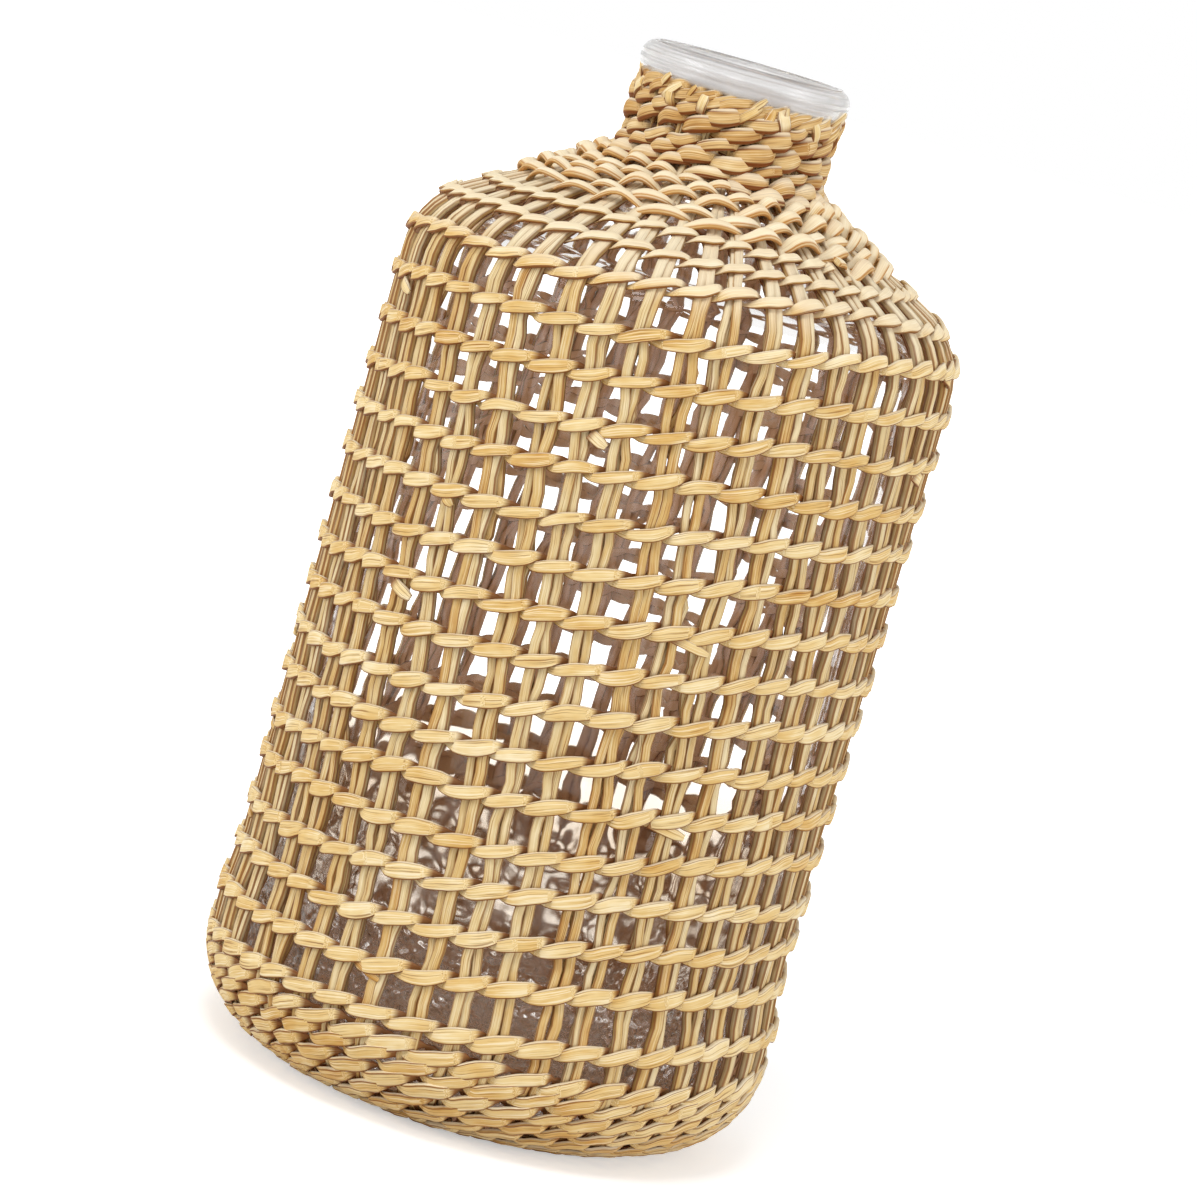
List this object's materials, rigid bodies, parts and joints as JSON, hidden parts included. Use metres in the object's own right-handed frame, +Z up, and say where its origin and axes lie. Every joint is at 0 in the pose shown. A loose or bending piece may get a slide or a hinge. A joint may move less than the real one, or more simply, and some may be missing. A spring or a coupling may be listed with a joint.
{
  "type": "straw-wrapped glass vase",
  "caption": "Tall glass bottle vase with a narrow neck and rolled clear lip, wrapped in an openly twined straw jacket that is worked closely at the foot and the neck.",
  "frame": {"origin": "on the table, under the bottle's axis, in the plane of the woven mat's flat underside", "axes": "+Z up along the bottle's axis; -Y is the side that faces the picture"},
  "size_m": [0.1398, 0.1396, 0.26],
  "materials": {
    "glass": "clear, polished",
    "straw_stake": "dried straw, satin along the fibre",
    "straw_weave": "dried straw, satin along the fibre"
  },
  "bodies": {
    "root": {"glass_bottle": "glass", "base_mat": "straw_weave", "stake_01": "straw_stake", "stake_02": "straw_stake", "stake_03": "straw_stake", "stake_04": "straw_stake", "stake_05": "straw_stake", "stake_06": "straw_stake", "stake_07": "straw_stake", "stake_08": "straw_stake", "stake_09": "straw_stake", "stake_10": "straw_stake", "stake_11": "straw_stake", "stake_12": "straw_stake", "stake_13": "straw_stake", "stake_14": "straw_stake", "stake_15": "straw_stake", "stake_16": "straw_stake", "stake_17": "straw_stake", "stake_18": "straw_stake", "stake_19": "straw_stake", "stake_20": "straw_stake", "stake_21": "straw_stake", "stake_22": "straw_stake", "stake_23": "straw_stake", "stake_24": "straw_stake", "foot_band": "straw_weave", "neck_collar": "straw_weave", "top_border": "straw_weave", "weaver_1a_01": "straw_weave", "weaver_1a_02": "straw_weave", "weaver_1a_03": "straw_weave", "weaver_1a_04": "straw_weave", "weaver_1a_05": "straw_weave", "weaver_1a_06": "straw_weave", "weaver_1b_01": "straw_weave", "weaver_1b_02": "straw_weave", "weaver_1b_03": "straw_weave", "weaver_1b_04": "straw_weave", "weaver_1b_05": "straw_weave", "weaver_1b_06": "straw_weave", "weaver_2a_01": "straw_weave", "weaver_2a_02": "straw_weave", "weaver_2a_03": "straw_weave", "weaver_2a_04": "straw_weave", "weaver_2a_05": "straw_weave", "weaver_2a_06": "straw_weave", "weaver_2b_01": "straw_weave", "weaver_2b_02": "straw_weave", "weaver_2b_03": "straw_weave", "weaver_2b_04": "straw_weave", "weaver_2b_05": "straw_weave", "weaver_2b_06": "straw_weave"}
  },
  "joints": []
}
